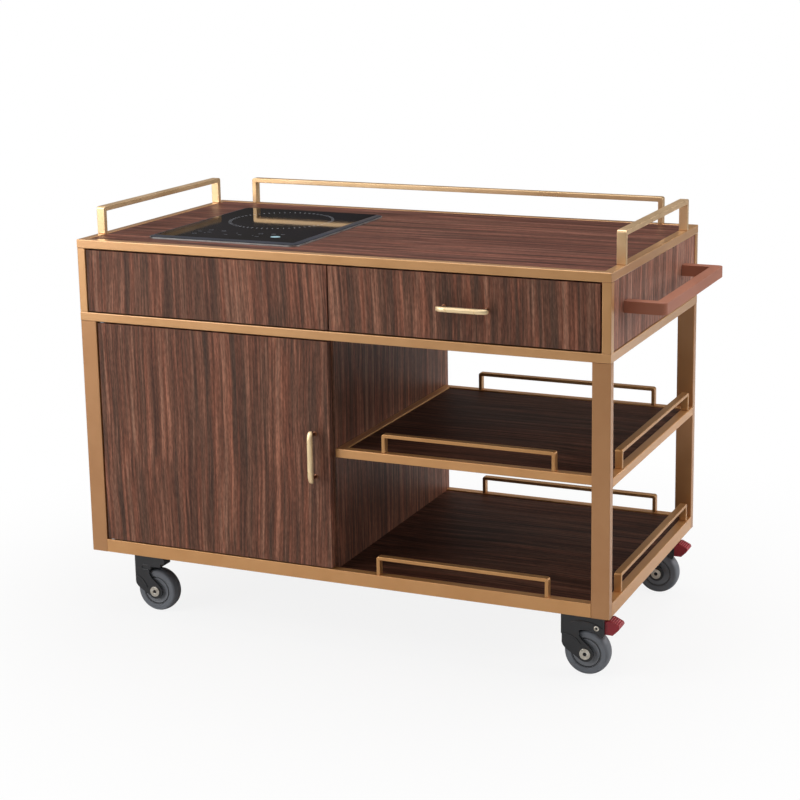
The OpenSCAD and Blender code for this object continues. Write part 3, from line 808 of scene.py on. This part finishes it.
@dataclass
class Boards(Assembly):
    """Veneered boards: worktop, shelves, case, cupboard and fronts. Tones run from dark to light."""

    edge: float = 0.6 * MM
    roughness: float = 0.45
    top: Tones = ("#361e18", "#472921", "#5d382f", "#73493d", "#895c4f")
    front: Tones = ("#4c352c", "#5c3f33", "#70493a", "#885b49", "#9e6f5b")
    side: Tones = ("#593b30", "#6c483a", "#835849", "#9c6b59", "#b28170")
    # The shelf tones, which the shelves, the base and the deck take, are darkened as painted shade under the
    # worktop.
    shelf: Tones = ("#301c15", "#3c251c", "#492e24", "#593a2e", "#6b483a")

    def build(self) -> None:
        """Dresses every board of the trolley, the drawer front and the door, each with its own pattern."""
        bodies = {"drawer_front": "drawer", "door_panel": "door"}
        for name, tones, grain, seed, sheen in (
            ("worktop_board", self.top, Axis.X, 3.1, 0.08),
            ("shelf_board", self.shelf, Axis.X, 7.7, 0.06),
            ("base_board", self.shelf, Axis.X, 12.9, 0.06),
            ("deck_board", self.shelf, Axis.X, 58.0, 0.06),
            ("side_panels", self.side, Axis.Z, 21.3, 0.2),
            ("back_panels", self.front, Axis.Z, 27.5, 0.2),
            ("fixed_front_panel", self.front, Axis.Z, 33.8, 0.2),
            ("dividers", self.front, Axis.Z, 39.2, 0.2),
            ("drawer_front", self.front, Axis.Z, 44.6, 0.2),
            ("door_panel", self.front, Axis.Z, 51.4, 0.2),
        ):
            look = (tones[2], self.roughness, 0.0, grain, tones, seed, sheen)
            wood = WoodLaminate(f"Walnut laminate {name}", *look)
            slot = "dark_board" if name == "deck_board" else "walnut"
            self.part(name, wood, slot, bodies.get(name, "trolley"), self.edge, ending="veneered")


@dataclass
class Guards(Assembly):
    """Bent flat bars round the worktop and the two shelves."""

    edge: float = 1.2 * MM

    def build(self) -> None:
        """Rounds and dresses every guard."""
        shape = {"edge": self.edge, "segments": 3, "ending": "bar"}
        for name in ("top_guard_left", "top_guard_back", "top_guard_right"):
            self.part(name, CHAMPAGNE, "champagne_guard", **shape)
        for name in ("mid_guards", "mid_guard_right", "low_guards", "low_guard_right"):
            self.part(name, SHELF_BAR, "shelf_guard", **shape)


@dataclass
class PushHandle(Assembly):
    """Bent square tube that the waiter pushes."""

    edge: float = 3.0 * MM

    def build(self) -> None:
        """Rounds the tube's edges and dresses it."""
        self.part("push_handle", COPPER_COAT, "copper_handle", edge=self.edge, segments=4, ending="tube")


@dataclass
class Hob(Assembly):
    """Induction hob: glass with its ground bevel, printed marks and what is under the glass.

    The zone, the rings, bars and dots of the touch keys and the oval have their places in X and Y.
    """

    corner: float = 19 * MM
    corner_steps: int = 12
    band: float = 12 * MM
    band_angle: float = 14.0
    band_slope: tuple[float, float] = (0.05, 0.99)
    foot: float = 1.2 * MM
    rim_width: float = 16 * MM
    fillet: float = 0.3 * MM
    lift: float = 0.12 * MM
    roundness: float = 0.45
    zone: tuple[float, float] = (-0.343, 0.049)
    ticks: int = 60
    tick_radius: float = 120 * MM
    tick: tuple[float, float] = (7.5 * MM, 1.3 * MM)
    key_ring: tuple[float, float] = (5 * MM, 1.3 * MM)
    key_bar: tuple[float, float] = (10 * MM, 2.2 * MM)
    key_dot: tuple[float, float] = (3.4 * MM, 3.4 * MM)
    oval_at: tuple[float, float] = (-0.244, -0.167)
    oval: tuple[float, float] = (11.5 * MM, 9.5 * MM)
    oval_lines: tuple[float, float] = (1.6 * MM, 1.0 * MM)
    oval_sunk: float = -0.096 * MM
    rings: Places = (
        (-0.441, -0.182), (-0.429, -0.128), (-0.394, -0.132), (-0.295, -0.140), (-0.265, -0.136),
    )
    bars: Places = (
        (-0.417, -0.157), (-0.445, -0.151), (-0.367, -0.172), (-0.334, -0.167), (-0.243, -0.134),
        (-0.286, -0.176),
    )
    dots: Places = ((-0.424, -0.166), (-0.350, -0.150), (-0.302, -0.166))

    def build(self) -> None:
        """Builds the glass, the printed marks and the inner parts."""
        self.pane()
        self.rim()
        self.ring()
        self.touch_keys()
        self.start_key()
        for name, finish, slot, body in (
            ("hob_housing", ZINC, "zinc_steel", "trolley"),
            ("induction_coil", COPPER, "copper_coil", "trolley"),
            ("hob_electronics", BOARD_GREEN, "circuit_board", "trolley"),
            ("fan_rotor", BLACK_NYLON, "black_plastic", "fan"),
            ("cable_gland", BLACK_NYLON, "black_plastic", "trolley"),
        ):
            self.part(name, finish, slot, body, self.fillet, 1)

    @property
    def height(self) -> float:
        """Height of the glass's upper face."""
        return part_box("hob_glass")[1].z

    def slab(self, name: str, low: Vector, high: Vector, corner: float, segments: int) -> Object:
        """Makes a flat slab with round upright corners, and stays in edit mode.

        Args:
            name: name of the slab.
            low: its lowest corner.
            high: its highest corner.
            corner: radius of its upright corners.
            segments: steps of their rounding.

        Returns:
            The slab.
        """
        cube = bpy.ops.mesh.primitive_cube_add
        piece = started(cube, name, size=1, location=(low + high) / 2, scale=high - low)
        begin_edit(piece)
        tall = (high.z - low.z) / 2
        select(lambda e: abs(e.verts[0].co.z - e.verts[1].co.z) > tall, edges=True)
        bevel(corner, segments)
        return piece

    def pane(self) -> None:
        """Builds the glass: a low edge, a wide sloping ground band and the polished top."""
        low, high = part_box("hob_glass")
        rise = high.z - low.z - self.foot
        glass = self.slab("hob_glass_pane", low, high - Vector((0, 0, rise)), self.corner, self.corner_steps)
        select(lambda f: f.normal.z > FACING)
        bpy.ops.mesh.inset(thickness=self.band)
        bpy.ops.transform.translate(value=(0, 0, rise))
        select(is_sharp, edges=True)
        bevel(self.fillet, 2)
        end_edit()
        smooth(glass, self.band_angle)
        dress(glass, GLASS, nodes=["hob_glass"])
        glass.data.materials.append(GROUND_EDGE.material())
        steep, flat = self.band_slope
        for face in glass.data.polygons:
            face.material_index = int(steep < face.normal.z < flat)

    def rim(self) -> None:
        """Builds the frame that the glass lies in."""
        rim = self.slab("hob_rim", *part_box("hob_trim"), self.corner, self.corner_steps)
        select(lambda f: abs(f.normal.z) > FACING)
        bpy.ops.mesh.inset(thickness=self.rim_width)
        bpy.ops.mesh.bridge_edge_loops()
        select(is_sharp, edges=True)
        bevel(self.fillet, 2)
        end_edit()
        smooth(rim)
        dress(rim, RIM, nodes=["hob_trim"])

    def printed(self, name: str, size: tuple[float, float]) -> Object:
        """Makes one thin printed bar with rounded ends at the origin.

        Args:
            name: name of the mark.
            size: its length and width.

        Returns:
            The mark.
        """
        half = Vector((*size, 2 * self.lift)) / 2
        mark = self.slab(name, -half, half, self.roundness * min(size), 2)
        end_edit()
        return mark

    def loop(self, name: str, size: tuple[float, float]) -> Object:
        """Makes one thin printed ring at the origin.

        Args:
            name: name of the ring.
            size: its outer radius and the width of its line.

        Returns:
            The ring.
        """
        cylinder = bpy.ops.mesh.primitive_cylinder_add
        ring = started(cylinder, name, vertices=20, radius=size[0], depth=2 * self.lift)
        begin_edit(ring)
        select(lambda f: abs(f.normal.z) > FACING)
        bpy.ops.mesh.inset(thickness=size[1])
        bpy.ops.mesh.bridge_edge_loops()
        end_edit()
        return ring

    def ring(self) -> None:
        """Lays the ring of short radial marks round the cooking zone."""
        mark = self.printed("tick", self.tick)
        middle = Matrix.Translation((*self.zone, self.height))
        out = Matrix.Translation((self.tick_radius, 0, 0))
        marks = [
            copied(mark, f"tick_{i}", middle @ Matrix.Rotation(math.tau * i / self.ticks, 4, "Z") @ out)
            for i in range(self.ticks)
        ]
        discard(mark)
        dress(joined(marks, "hob_zone_marks"), PRINT)

    def touch_keys(self) -> None:
        """Lays the marks of the touch keys."""
        marks = []
        for pattern, places in (
            (self.loop("key_ring", self.key_ring), self.rings),
            (self.printed("key_bar", self.key_bar), self.bars),
            (self.printed("key_dot", self.key_dot), self.dots),
        ):
            marks += [copied(pattern, "key", Matrix.Translation((*place, self.height))) for place in places]
            discard(pattern)
        dress(joined(marks, "hob_touch_keys"), PRINT_DIM)

    def start_key(self) -> None:
        """Lays the pale oval of the start key, with a sunk line round its middle."""
        cylinder = bpy.ops.mesh.primitive_cylinder_add
        shape = {"vertices": 40, "radius": 1.0, "depth": 2 * self.lift, "scale": (*self.oval, 1)}
        oval = started(cylinder, "hob_start_key", location=(*self.oval_at, self.height), **shape)
        begin_edit(oval)
        select(lambda f: f.normal.z > FACING)
        bpy.ops.mesh.inset(thickness=self.oval_lines[0])
        bpy.ops.mesh.inset(thickness=self.oval_lines[1], depth=self.oval_sunk)
        end_edit()
        dress(oval, PRINT_BLUE)


@dataclass
class Inside(Assembly):
    """Drawer box, slides, angles, door fittings and caster plates, which show when things open."""

    def build(self) -> None:
        """Dresses the inner fittings."""
        for name, finish, slot, body, edge_mm in (
            ("drawer_box", BOX_WOOD, "drawer_wood", "drawer", 0.8),
            ("drawer_bottom", BOTTOM_WOOD, "drawer_wood", "drawer", 0.4),
            ("support_angles", ZINC, "zinc_steel", "trolley", 0.4),
            ("slide_outer", ZINC, "zinc_steel", "trolley", 0.0),
            ("slide_middle", ZINC, "zinc_steel", "slide_mid", 0.0),
            ("slide_inner", ZINC, "zinc_steel", "drawer", 0.0),
            ("door_strike", ZINC, "zinc_steel", "door", 0.3),
            ("door_hardware", ZINC, "zinc_steel", "trolley", 0.3),
            ("caster_plates", ZINC, "zinc_steel", "trolley", 0.5),
        ):
            self.part(name, finish, slot, body, edge_mm * MM, 1)


@dataclass
class Pulls(Assembly):
    """Cast brass pulls of the drawer and the door, bowed back at both ends, on turned posts.

    Outlines are millimetres, with Y at 0 on the face of the board and negative towards the hand. The
    section gives depth and height from the bar's back. Each row of the bow gives a place along the
    bar, and the share of the section's depth and height that it has there.
    """

    length_mm: float = 117.6
    back_mm: float = -20.0
    pitch: float = 96 * MM
    section: Outline = mirrored((
        (0.0, 3.6), (-1.0, 4.8), (-3.5, 5.3), (-7.0, 5.4),
        (-9.6, 5.0), (-11.1, 3.9), (-11.8, 2.0), (-12.0, 0.0),
    ))
    bow: tuple[Point, ...] = (
        (0.0, 0.06, 0.30), (0.4, 0.18, 0.52), (1.2, 0.31, 0.70), (2.6, 0.45, 0.84), (4.6, 0.58, 0.93),
        (7.2, 0.71, 0.98), (10.4, 0.82, 1.0), (14.2, 0.91, 1.0), (18.6, 0.97, 1.0), (23.0, 1.0, 1.0),
        (25.6, 1.0, 1.0), (26.1, 0.93, 0.92), (27.9, 0.93, 0.92), (28.4, 1.0, 1.0),
    )
    post: Outline = (
        (0.0, 0.0), (5.2, 0.0), (5.2, -0.9), (4.7, -1.4), (3.6, -1.8),
        (3.6, -14.6), (4.0, -17.4), (4.6, -20.8), (0.0, -20.8),
    )

    def build(self) -> None:
        """Models a bar and a post once, and copies them to the drawer and the door."""
        bar = self.bar()
        post = turned("pull_post", self.post, steps=40)
        for name, body, turn in (("drawer_pull", "drawer", 0.0), ("door_pull", "door", math.pi / 2)):
            low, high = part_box(name)
            middle = (low + high) / 2
            middle.y = high.y
            place = Matrix.Translation(middle) @ Matrix.Rotation(turn, 4, "Y")
            dress(copied(bar, f"{name}_bar", place), BRASS, body, [name])
            posts = [
                copied(post, f"{name}_post", place @ Matrix.Translation((side * self.pitch, 0, 0)))
                for side in (-0.5, 0.5)
            ]
            # The posts are painted darker, as painted shade behind the bar.
            dress(joined(posts, f"{name}_posts"), BRASS_POST_IN_SHADE, body)
        discard(bar, post)

    def bar(self) -> Object:
        """Draws the bar's section at its left end and extrudes it in steps, resized at each.

        Returns:
            The bar along X, with its middle at the origin.
        """
        half = self.length_mm / 2
        steps = [(x - half, deep, high) for x, deep, high in self.bow]
        steps += [(-x, deep, high) for x, deep, high in reversed(steps)]
        ring = [(-half * MM, (self.back_mm + y) * MM, z * MM) for y, z in (*self.section, self.section[0])]
        bar = wire("pull_bar", ring)
        bpy.ops.mesh.select_all(action="SELECT")
        bpy.ops.mesh.remove_doubles(threshold=WELD)
        bpy.ops.mesh.edge_face_add()
        pivot = (0, self.back_mm * MM, 0)
        bpy.ops.transform.resize(value=(1, steps[0][1], steps[0][2]), center_override=pivot)
        for (x0, deep0, high0), (x1, deep1, high1) in zip(steps, steps[1:]):
            bpy.ops.mesh.extrude_region_move(TRANSFORM_OT_translate={"value": ((x1 - x0) * MM, 0, 0)})
            bpy.ops.transform.resize(value=(1, deep1 / deep0, high1 / high0), center_override=pivot)
        bpy.ops.mesh.select_all(action="SELECT")
        bpy.ops.mesh.normals_make_consistent(inside=False)
        end_edit()
        smooth(bar, CREASE)
        return bar


@dataclass
class Caster(Assembly):
    """One swivel caster. Its raised lines are X and Z in millimetres from the middle of the axle."""

    corner: str
    side: float = 22.5 * MM
    hood_line: Outline = ((-33, 66), (-24, 70), (-14, 72), (0, 72.5), (15, 70.5), (28, 66), (38, 60))
    leg_line: Outline = ((-52, 41), (-40, 39), (-28, 36), (-18, 30), (-11, 21))
    head_line: Outline = ((-14, 62), (-29, 62), (-33, 59), (-33, 53), (-29, 51), (-15, 51))
    knee_line: Outline = ((-50, 34), (-40, 31), (-31, 24), (-24, 15), (-21, 7))
    line_radius: float = 1.5 * MM
    line_out: float = 0.4 * MM
    rivet_at: tuple[float, float] = (25 * MM, 60 * MM)
    ribs: int = 5
    rib_start: tuple[float, float] = (53.4 * MM, 77.47 * MM)
    rib_step: tuple[float, float] = (4.4 * MM, -1.98 * MM)
    rib_half: float = 14.5 * MM
    rib_radius: float = 0.9 * MM
    socket_radius: float = 4.5 * MM
    socket_out: float = 1.2 * MM
    socket_floor: float = 0.4 * MM
    dent: tuple[float, float] = (1.2 * MM, -0.15 * MM)
    fork_edge: float = 1.0 * MM
    pedal_edge: float = 0.35 * MM

    @property
    def axle(self) -> Vector:
        """Middle of the axle."""
        return sum(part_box(f"tyre_{self.corner}"), Vector()) / 2

    @property
    def braked(self) -> bool:
        """Whether it has a brake pedal, as the two at the right have."""
        return self.corner.endswith("right")

    def wheel(self, tyre: Object, joint: Object) -> None:
        """Copies the tyre and the joint ring, and dresses the hub and the axle bolt.

        Args:
            tyre: pattern of the tyre.
            joint: pattern of the ring between tyre and hub.
        """
        place, body, at = Matrix.Translation(self.axle), f"wheel_{self.corner}", self.corner
        dress(copied(tyre, f"tyre_{at}_tread", place), TYRE, body, [f"tyre_{at}"])
        dress(copied(joint, f"tyre_{at}_joint", place), BLACK_NYLON, body)
        self.part(f"hub_{at}", NYLON, "hub_grey", body)
        self.part(f"axle_{at}", NICKEL, "axle_steel", f"caster_{at}")
        self.socket()

    def socket(self) -> None:
        """Lays a near-black disc in the hexagonal socket of the axle bolt, as painted shade in its bottom."""
        cylinder = bpy.ops.mesh.primitive_cylinder_add
        shape = {"vertices": 6, "radius": self.socket_radius, "depth": self.socket_floor}
        place = self.axle - Vector((0, self.side + self.socket_out, 0))
        name = f"axle_{self.corner}_socket"
        floor = started(cylinder, name, location=place, rotation=(math.pi / 2, 0, 0), **shape)
        begin_edit(floor)
        select(lambda f: f.normal.y < -FACING)
        bpy.ops.mesh.inset(thickness=self.dent[0], depth=self.dent[1])
        end_edit()
        # The disc is painted near-black, as painted shade in the socket.
        dress(floor, SOCKET_SHADE, f"caster_{self.corner}")

    def fork(self) -> None:
        """Dresses the fork and lays the raised lines on both of its sides."""
        body = f"caster_{self.corner}"
        self.part(f"fork_{self.corner}", FORK_NYLON, "fork_black", body, self.fork_edge)
        lines = (self.hood_line, self.leg_line) if self.braked else (self.head_line, self.knee_line)
        out = self.side + self.line_out
        raised = [[(x * MM, side * out, z * MM) for x, z in line] for line in lines for side in (-1, 1)]
        piece = beads(f"fork_{self.corner}_embossing", raised, self.line_radius, self.axle)
        dress(piece, FORK_NYLON, body)

    def brake(self, rivet: Object) -> None:
        """Dresses the pedal, rivets its hinge pin and lays ribs between the grooves of its tread, in a
        lighter red as a painted highlight.

        Args:
            rivet: pattern of a hollow rivet head, which looks along -Y.
        """
        body, name = f"brake_{self.corner}", f"fork_{self.corner}_rivets"
        self.part(f"pedal_{self.corner}", PEDAL_ABS, "pedal_red", body, self.pedal_edge)
        heads = []
        for side, turn in ((-1, 0.0), (1, math.pi)):
            pin = self.axle + Vector((self.rivet_at[0], side * self.side, self.rivet_at[1]))
            heads.append(copied(rivet, name, Matrix.Translation(pin) @ Matrix.Rotation(turn, 4, "Z")))
        dress(joined(heads, name), NICKEL, f"caster_{self.corner}")
        (x, z), (dx, dz), half = self.rib_start, self.rib_step, self.rib_half
        ribs = [[(x + i * dx, y, z + i * dz) for y in (-half, 0, half)] for i in range(self.ribs)]
        piece = beads(f"pedal_{self.corner}_ribs", ribs, self.rib_radius, self.axle)
        # The ribs are painted lighter, as a painted highlight.
        dress(piece, RIB_HIGHLIGHT_ABS, body)


@dataclass
class Casters(Assembly):
    """Four swivel casters.

    Outlines are radius and place along Y, in millimetres about the axle or, for the rivet, about the
    pin that the pedal hangs on.
    """

    corners: tuple[str, ...] = ("front_left", "front_right", "back_left", "back_right")
    tyre: Outline = mirrored((
        (33.8, -15.4), (34.8, -15.9), (43.6, -15.9), (44.3, -15.3), (45.1, -15.6), (46.5, -14.8),
        (47.7, -13.2), (48.7, -10.8), (49.4, -7.5), (49.9, -3.5), (50.0, 0.0),
    ))
    joint: Outline = ((31.3, -14.8), (33.8, -14.8), (33.8, 14.8), (31.3, 14.8))
    rivet: Outline = ((2.4, -0.4), (2.4, -1.5), (3.0, -2.0), (4.9, -2.0), (5.9, -1.3), (6.3, -0.4))

    def build(self) -> None:
        """Models a tyre, a joint ring and a rivet once, and builds each caster with copies."""
        tyre = turned("tyre_pattern", self.tyre, steps=112)
        joint = turned("joint_pattern", self.joint, steps=64)
        rivet = turned("rivet_pattern", self.rivet, steps=32)
        for corner in self.corners:
            caster = Caster(self.nodes, corner)
            caster.wheel(tyre, joint)
            caster.fork()
            if caster.braked:
                caster.brake(rivet)
        discard(tyre, joint, rivet)


@dataclass(frozen=True)
class Lamp:
    """A round soft lamp that looks at the middle of the trolley."""

    name: str
    place: Point
    size: float
    power: float
    target: Point = (0, 0, 0.5)

    def hang(self) -> None:
        """Hangs the lamp and turns it."""
        data = bpy.data.lights.new(self.name, "AREA")
        data.shape = "DISK"
        data.size = self.size
        data.energy = self.power
        lamp = shown(self.name, data)
        lamp.location = self.place
        sight = Vector(self.target) - Vector(self.place)
        lamp.rotation_euler = sight.to_track_quat("-Z", "Y").to_euler()


@dataclass
class Studio:
    """Pale floor, white surround, soft lamps and the camera of the photograph."""

    floor_size: float = 14.0
    fade: tuple[float, float] = (0.6, 1.5)
    near_white: float = 0.87
    camera_at: Point = (1.6602, -3.6931, 1.5342)
    yaw: float = math.radians(-22.329)
    pitch: float = math.radians(-11.976)
    roll: float = math.radians(-0.533)
    lens: float = 81.99
    shift: tuple[float, float] = (-0.0833, -0.10)
    ambient: float = 0.22
    bright_side: Point = (-0.25, -0.25, 0.93)
    lamps: tuple[Lamp, ...] = (
        Lamp("key", (-2.6, -2.9, 1.3), 2.0, 38.0),
        Lamp("near", (-1.5, -1.6, 2.2), 1.2, 15.0),
        Lamp("end", (3.2, 0.6, 1.8), 1.8, 30.0),
        Lamp("rim", (2.6, 2.4, 1.4), 1.6, 26.0),
        Lamp("top", (0.2, 0.4, 3.2), 2.4, 44.0),
    )

    def build(self) -> None:
        """Builds the floor, the world, the lamps and the camera."""
        self.floor()
        self.world()
        for lamp in self.lamps:
            lamp.hang()
        self.camera()
        bpy.context.scene.view_settings.view_transform = "Standard"

    def floor(self) -> None:
        """Lays a plain pale floor that fades to white away from the trolley."""
        floor = started(bpy.ops.mesh.primitive_plane_add, "studio_floor", size=self.floor_size)
        made = bpy.data.materials.new("Pale studio floor")
        tree = emptied(made)
        pale = {"Base Color": srgb("#f4f3f1"), "Roughness": 0.9, "Specular IOR Level": 0.1}
        matt = add_node(tree, "BsdfPrincipled", pale)
        white = add_node(tree, "Emission", {"Color": WHITE})
        path = add_node(tree, "LightPath")
        where = add_node(tree, "TexCoord").outputs["Object"]
        away = add_node(tree, "VectorMath", {0: where}, operation="LENGTH").outputs["Value"]
        steps = dict(zip(RANGE, (away, *self.fade, self.near_white, 1.0)))
        fade = add_node(tree, "MapRange", steps, interpolation_type="SMOOTHSTEP")
        seen = add_node(tree, "Math", {0: path.outputs["Is Camera Ray"], 1: fade}, operation="MULTIPLY")
        both = add_node(tree, "MixShader", {0: seen, 1: matt, 2: white})
        add_node(tree, "OutputMaterial", {"Surface": both})
        floor.data.materials.append(made)

    def world(self) -> None:
        """Gives the camera a white background, and metal and glass a soft bright surround."""
        world = bpy.data.worlds.new("White surround")
        bpy.context.scene.world = world
        tree = emptied(world)
        path = add_node(tree, "LightPath").outputs
        where = add_node(tree, "TexCoord").outputs["Generated"]
        facing = add_node(tree, "VectorMath", {0: where, 1: self.bright_side}, operation="DOT_PRODUCT")
        side = add_node(tree, "MapRange", dict(zip(RANGE, (facing.outputs["Value"], -1.0, 1.0))))
        stops = ((0.5, "#2e2b29"), (0.64, "#b3aea9"), (0.82, "#ffffff"))
        glow = add_node(tree, "ValToRGB", {"Fac": side}, stops)
        ambient = add_node(tree, "Background", {"Color": WHITE, "Strength": self.ambient})
        shine = add_node(tree, "Background", {"Color": glow})
        seen = add_node(tree, "Background", {"Color": WHITE})
        rays = {0: path["Is Glossy Ray"], 1: path["Is Transmission Ray"]}
        shiny = add_node(tree, "Math", rays, operation="MAXIMUM")
        first = add_node(tree, "MixShader", {0: shiny, 1: ambient, 2: shine})
        last = add_node(tree, "MixShader", {0: path["Is Camera Ray"], 1: first, 2: seen})
        add_node(tree, "OutputWorld", {"Surface": last})

    def camera(self) -> None:
        """Sets the camera where the photograph was taken from."""
        data = bpy.data.cameras.new("photograph view")
        data.sensor_width = 36
        data.lens = self.lens
        data.shift_x, data.shift_y = self.shift
        data.clip_start, data.clip_end = 0.05, 100
        camera = shown("photograph view", data)
        turn = Matrix.Rotation(-self.yaw, 4, "Z") @ Matrix.Rotation(math.pi / 2 + self.pitch, 4, "X")
        turn = turn @ Matrix.Rotation(self.roll, 4, "Z")
        camera.matrix_world = Matrix.Translation(self.camera_at) @ turn
        bpy.context.scene.camera = camera


def corners(box: tuple[Vector, Vector]) -> list[list[float]]:
    """Returns a box's two corners as plain lists."""
    return [[float(v) for v in corner] for corner in box]


def main() -> None:
    """Loads the frame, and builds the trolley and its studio."""
    logging.basicConfig(level=logging.INFO, format="%(name)s: %(message)s")
    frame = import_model()
    parts = (TubeFrame, Boards, Guards, PushHandle, Hob, Inside, Pulls, Casters)
    for part in (*(kind(frame["nodes"]) for kind in parts), Studio()):
        part.build()
        LOG.info("%s is built", type(part).__name__)
    clear_selection()


if __name__ == "__main__":
    main()
